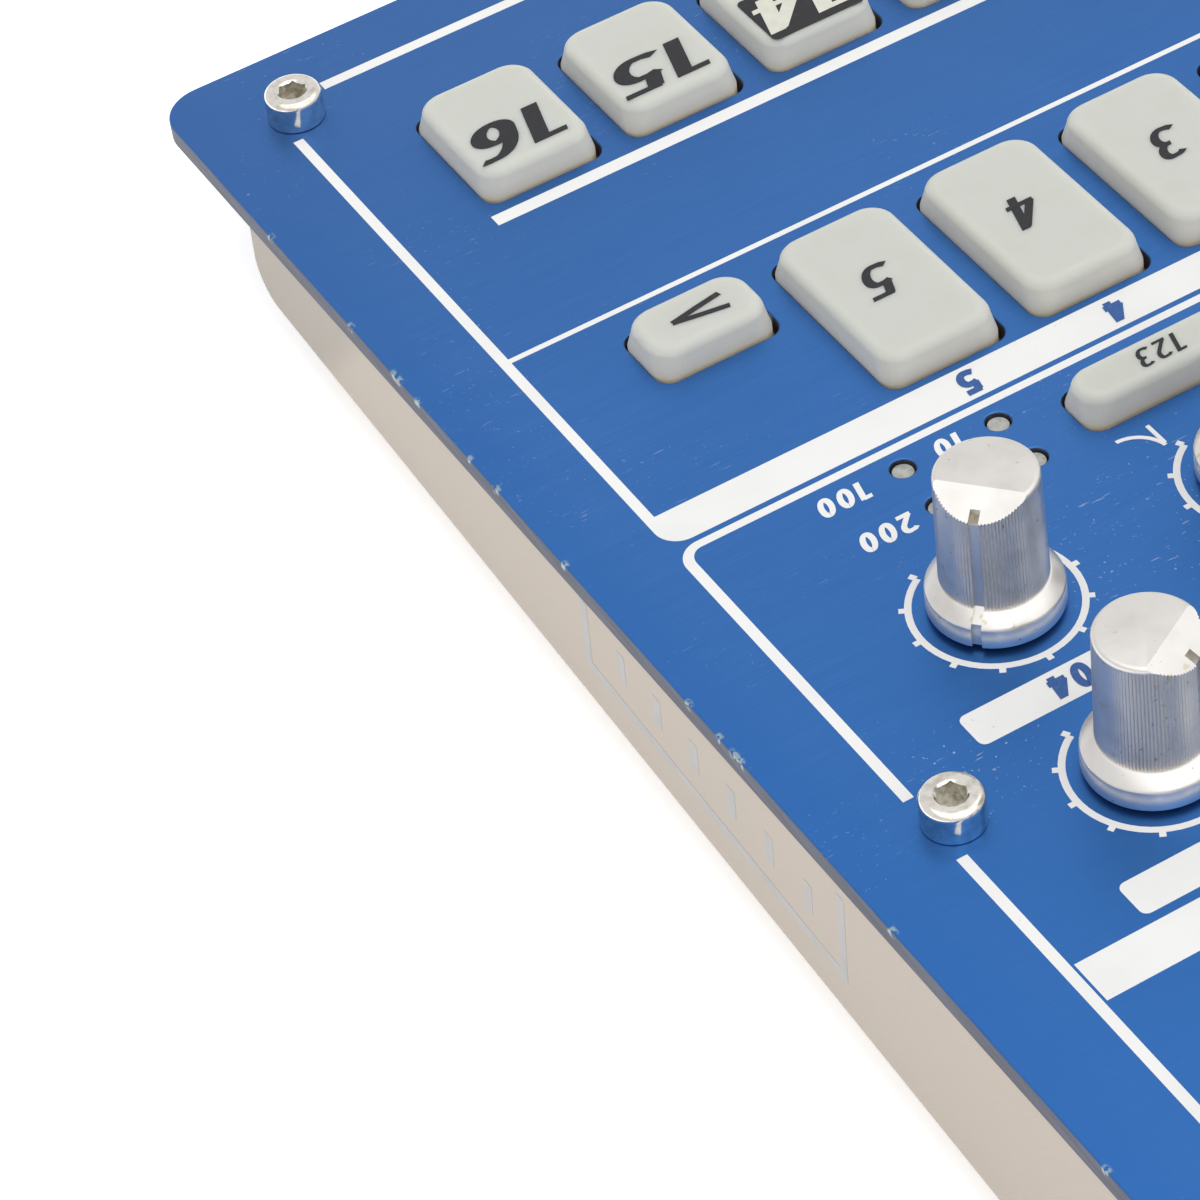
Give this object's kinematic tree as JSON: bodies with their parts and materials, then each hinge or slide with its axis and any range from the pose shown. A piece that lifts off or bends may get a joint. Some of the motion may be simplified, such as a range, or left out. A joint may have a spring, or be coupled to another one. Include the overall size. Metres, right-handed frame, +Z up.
{
  "type": "drum machine",
  "caption": "Step-sequencing drum machine: sloped blue plate with silicone keys, knobs, a dial, a fader and a valve window, on a wedge-shaped sheet metal case with rear sockets.",
  "frame": {"origin": "centre of the footprint, on the surface the feet stand on", "axes": "+X to the player's right, +Y to the rear sockets, +Z up; the plate slopes 4.8 degrees up towards the back"},
  "size_m": [0.357, 0.2812, 0.0547],
  "materials": {
    "blue_plate": "blue anodised, fine brushed grain",
    "case_paint": "satin warm silver paint",
    "nickel": "bright nickel",
    "dark_steel": "blackened",
    "foot_rubber": "matte",
    "key_rubber": "translucent satin silicone",
    "board_green": "solder mask",
    "pot_steel": "plated",
    "indicator_lens": "smoked clear",
    "window_clear": "clear",
    "display_black": "dark",
    "valve_glass": "clear",
    "valve_metal": "dull grey",
    "ceramic": "glazed white",
    "strip_black": "fine matte",
    "socket_black": "moulded",
    "knob_silver": "satin silver"
  },
  "bodies": {
    "case": {"top_panel": "blue_plate", "chassis": "case_paint", "rear_panel": "case_paint", "panel_screws": "nickel", "case_screws": "dark_steel", "rubber_feet": "foot_rubber", "key_mat": "key_rubber", "panel_board": "board_green", "main_board": "board_green", "potentiometers": "pot_steel", "led_lenses": "indicator_lens", "clear_windows": "window_clear", "display_module": "display_black", "valve_glass": "valve_glass", "valve_cores": "valve_metal", "valve_sockets": "ceramic", "touch_strip": "strip_black", "phone_jacks": "socket_black", "midi_sockets": "socket_black", "power_fittings": "socket_black"},
    "step_key_1": {"step_key_1": "key_rubber"},
    "step_key_2": {"step_key_2": "key_rubber"},
    "step_key_3": {"step_key_3": "key_rubber"},
    "step_key_4": {"step_key_4": "key_rubber"},
    "step_key_5": {"step_key_5": "key_rubber"},
    "step_key_6": {"step_key_6": "key_rubber"},
    "step_key_7": {"step_key_7": "key_rubber"},
    "step_key_8": {"step_key_8": "key_rubber"},
    "step_key_9": {"step_key_9": "key_rubber"},
    "step_key_10": {"step_key_10": "key_rubber"},
    "step_key_11": {"step_key_11": "key_rubber"},
    "step_key_12": {"step_key_12": "key_rubber"},
    "step_key_13": {"step_key_13": "key_rubber"},
    "step_key_14": {"step_key_14": "key_rubber"},
    "step_key_15": {"step_key_15": "key_rubber"},
    "step_key_16": {"step_key_16": "key_rubber"},
    "part_key_1": {"part_key_1": "key_rubber"},
    "part_key_2": {"part_key_2": "key_rubber"},
    "part_key_3": {"part_key_3": "key_rubber"},
    "part_key_4": {"part_key_4": "key_rubber"},
    "part_key_5": {"part_key_5": "key_rubber"},
    "accent_key": {"accent_key": "key_rubber"},
    "type_key": {"type_key": "key_rubber"},
    "drum_keys": {"drum_keys": "key_rubber"},
    "function_keys": {"function_keys": "key_rubber"},
    "knob_cutoff": {"knob_cutoff": "knob_silver"},
    "knob_resonance": {"knob_resonance": "knob_silver"},
    "knob_envelope": {"knob_envelope": "knob_silver"},
    "knob_drive": {"knob_drive": "knob_silver"},
    "knob_speed": {"knob_speed": "knob_silver"},
    "knob_depth": {"knob_depth": "knob_silver"},
    "knob_pitch": {"knob_pitch": "knob_silver"},
    "knob_level": {"knob_level": "knob_silver"},
    "knob_effect_1": {"knob_effect_1": "knob_silver"},
    "knob_effect_2": {"knob_effect_2": "knob_silver"},
    "knob_volume": {"knob_volume": "knob_silver"},
    "knob_valve_gain": {"knob_valve_gain": "knob_silver"},
    "data_dial": {"data_dial": "knob_silver"},
    "fader_cap": {"fader_cap": "knob_silver"},
    "power_switch": {"power_switch": "socket_black"}
  },
  "joints": [
    {"name": "step_key_1_press", "type": "slide", "parent": "case", "child": "step_key_1", "axis": [0, 0.0837, -0.9965], "range_m": [0, 0.0012], "stiffness_N_per_m": 1200},
    {"name": "step_key_2_press", "type": "slide", "parent": "case", "child": "step_key_2", "axis": [0, 0.0837, -0.9965], "range_m": [0, 0.0012], "stiffness_N_per_m": 1200},
    {"name": "step_key_3_press", "type": "slide", "parent": "case", "child": "step_key_3", "axis": [0, 0.0837, -0.9965], "range_m": [0, 0.0012], "stiffness_N_per_m": 1200},
    {"name": "step_key_4_press", "type": "slide", "parent": "case", "child": "step_key_4", "axis": [0, 0.0837, -0.9965], "range_m": [0, 0.0012], "stiffness_N_per_m": 1200},
    {"name": "step_key_5_press", "type": "slide", "parent": "case", "child": "step_key_5", "axis": [0, 0.0837, -0.9965], "range_m": [0, 0.0012], "stiffness_N_per_m": 1200},
    {"name": "step_key_6_press", "type": "slide", "parent": "case", "child": "step_key_6", "axis": [0, 0.0837, -0.9965], "range_m": [0, 0.0012], "stiffness_N_per_m": 1200},
    {"name": "step_key_7_press", "type": "slide", "parent": "case", "child": "step_key_7", "axis": [0, 0.0837, -0.9965], "range_m": [0, 0.0012], "stiffness_N_per_m": 1200},
    {"name": "step_key_8_press", "type": "slide", "parent": "case", "child": "step_key_8", "axis": [0, 0.0837, -0.9965], "range_m": [0, 0.0012], "stiffness_N_per_m": 1200},
    {"name": "step_key_9_press", "type": "slide", "parent": "case", "child": "step_key_9", "axis": [0, 0.0837, -0.9965], "range_m": [0, 0.0012], "stiffness_N_per_m": 1200},
    {"name": "step_key_10_press", "type": "slide", "parent": "case", "child": "step_key_10", "axis": [0, 0.0837, -0.9965], "range_m": [0, 0.0012], "stiffness_N_per_m": 1200},
    {"name": "step_key_11_press", "type": "slide", "parent": "case", "child": "step_key_11", "axis": [0, 0.0837, -0.9965], "range_m": [0, 0.0012], "stiffness_N_per_m": 1200},
    {"name": "step_key_12_press", "type": "slide", "parent": "case", "child": "step_key_12", "axis": [0, 0.0837, -0.9965], "range_m": [0, 0.0012], "stiffness_N_per_m": 1200},
    {"name": "step_key_13_press", "type": "slide", "parent": "case", "child": "step_key_13", "axis": [0, 0.0837, -0.9965], "range_m": [0, 0.0012], "stiffness_N_per_m": 1200},
    {"name": "step_key_14_press", "type": "slide", "parent": "case", "child": "step_key_14", "axis": [0, 0.0837, -0.9965], "range_m": [0, 0.0012], "stiffness_N_per_m": 1200},
    {"name": "step_key_15_press", "type": "slide", "parent": "case", "child": "step_key_15", "axis": [0, 0.0837, -0.9965], "range_m": [0, 0.0012], "stiffness_N_per_m": 1200},
    {"name": "step_key_16_press", "type": "slide", "parent": "case", "child": "step_key_16", "axis": [0, 0.0837, -0.9965], "range_m": [0, 0.0012], "stiffness_N_per_m": 1200},
    {"name": "part_key_1_press", "type": "slide", "parent": "case", "child": "part_key_1", "axis": [0, 0.0837, -0.9965], "range_m": [0, 0.0012], "stiffness_N_per_m": 1200},
    {"name": "part_key_2_press", "type": "slide", "parent": "case", "child": "part_key_2", "axis": [0, 0.0837, -0.9965], "range_m": [0, 0.0012], "stiffness_N_per_m": 1200},
    {"name": "part_key_3_press", "type": "slide", "parent": "case", "child": "part_key_3", "axis": [0, 0.0837, -0.9965], "range_m": [0, 0.0012], "stiffness_N_per_m": 1200},
    {"name": "part_key_4_press", "type": "slide", "parent": "case", "child": "part_key_4", "axis": [0, 0.0837, -0.9965], "range_m": [0, 0.0012], "stiffness_N_per_m": 1200},
    {"name": "part_key_5_press", "type": "slide", "parent": "case", "child": "part_key_5", "axis": [0, 0.0837, -0.9965], "range_m": [0, 0.0012], "stiffness_N_per_m": 1200},
    {"name": "accent_key_press", "type": "slide", "parent": "case", "child": "accent_key", "axis": [0, 0.0837, -0.9965], "range_m": [0, 0.0012], "stiffness_N_per_m": 1200},
    {"name": "type_key_press", "type": "slide", "parent": "case", "child": "type_key", "axis": [0, 0.0837, -0.9965], "range_m": [0, 0.0012], "stiffness_N_per_m": 1200},
    {"name": "drum_keys_press", "type": "slide", "parent": "case", "child": "drum_keys", "axis": [0, 0.0837, -0.9965], "range_m": [0, 0.0012], "stiffness_N_per_m": 4000},
    {"name": "function_keys_press", "type": "slide", "parent": "case", "child": "function_keys", "axis": [0, 0.0837, -0.9965], "range_m": [0, 0.0012], "stiffness_N_per_m": 3000},
    {"name": "knob_cutoff_turn", "type": "hinge", "parent": "case", "child": "knob_cutoff", "pos_m": [0.11016, 0.02056, 0.03128], "axis": [0, -0.0837, 0.9965], "range_deg": [-130, 170]},
    {"name": "knob_resonance_turn", "type": "hinge", "parent": "case", "child": "knob_resonance", "pos_m": [0.14456, 0.02056, 0.03128], "axis": [0, -0.0837, 0.9965], "range_deg": [-179, 121]},
    {"name": "knob_envelope_turn", "type": "hinge", "parent": "case", "child": "knob_envelope", "pos_m": [0.11016, -0.0081, 0.02888], "axis": [0, -0.0837, 0.9965], "range_deg": [-215, 85]},
    {"name": "knob_drive_turn", "type": "hinge", "parent": "case", "child": "knob_drive", "pos_m": [0.14456, -0.0081, 0.02888], "axis": [0, -0.0837, 0.9965], "range_deg": [-101, 199]},
    {"name": "knob_speed_turn", "type": "hinge", "parent": "case", "child": "knob_speed", "pos_m": [0.04136, 0.02056, 0.03128], "axis": [0, -0.0837, 0.9965], "range_deg": [-240, 60]},
    {"name": "knob_depth_turn", "type": "hinge", "parent": "case", "child": "knob_depth", "pos_m": [0.07576, 0.02056, 0.03128], "axis": [0, -0.0837, 0.9965], "range_deg": [-115, 185]},
    {"name": "knob_pitch_turn", "type": "hinge", "parent": "case", "child": "knob_pitch", "pos_m": [0.04136, -0.0081, 0.02888], "axis": [0, -0.0837, 0.9965], "range_deg": [-150, 150]},
    {"name": "knob_level_turn", "type": "hinge", "parent": "case", "child": "knob_level", "pos_m": [0.07576, -0.0081, 0.02888], "axis": [0, -0.0837, 0.9965], "range_deg": [-75, 225]},
    {"name": "knob_effect_1_turn", "type": "hinge", "parent": "case", "child": "knob_effect_1", "pos_m": [0.11016, 0.07065, 0.03549], "axis": [0, -0.0837, 0.9965], "range_deg": [-190, 110]},
    {"name": "knob_effect_2_turn", "type": "hinge", "parent": "case", "child": "knob_effect_2", "pos_m": [0.14456, 0.07065, 0.03549], "axis": [0, -0.0837, 0.9965], "range_deg": [-90, 210]},
    {"name": "knob_volume_turn", "type": "hinge", "parent": "case", "child": "knob_volume", "pos_m": [-0.11016, 0.07065, 0.03549], "axis": [0, -0.0837, 0.9965], "range_deg": [-120, 180]},
    {"name": "knob_valve_gain_turn", "type": "hinge", "parent": "case", "child": "knob_valve_gain", "pos_m": [-0.07576, 0.07065, 0.03549], "axis": [0, -0.0837, 0.9965], "range_deg": [-170, 130]},
    {"name": "data_dial_turn", "type": "hinge", "parent": "case", "child": "data_dial", "pos_m": [-0.10416, 0.01183, 0.03055], "axis": [0, -0.0837, 0.9965], "continuous": true},
    {"name": "fader_slide", "type": "slide", "parent": "case", "child": "fader_cap", "axis": [0, 0.9965, 0.0837], "range_m": [-0.03, 0.03]},
    {"name": "power_switch_rock", "type": "hinge", "parent": "case", "child": "power_switch", "pos_m": [0.137, 0.1357, 0.0251], "axis": [1, 0, 0], "range_deg": [-18, 0]}
  ]
}
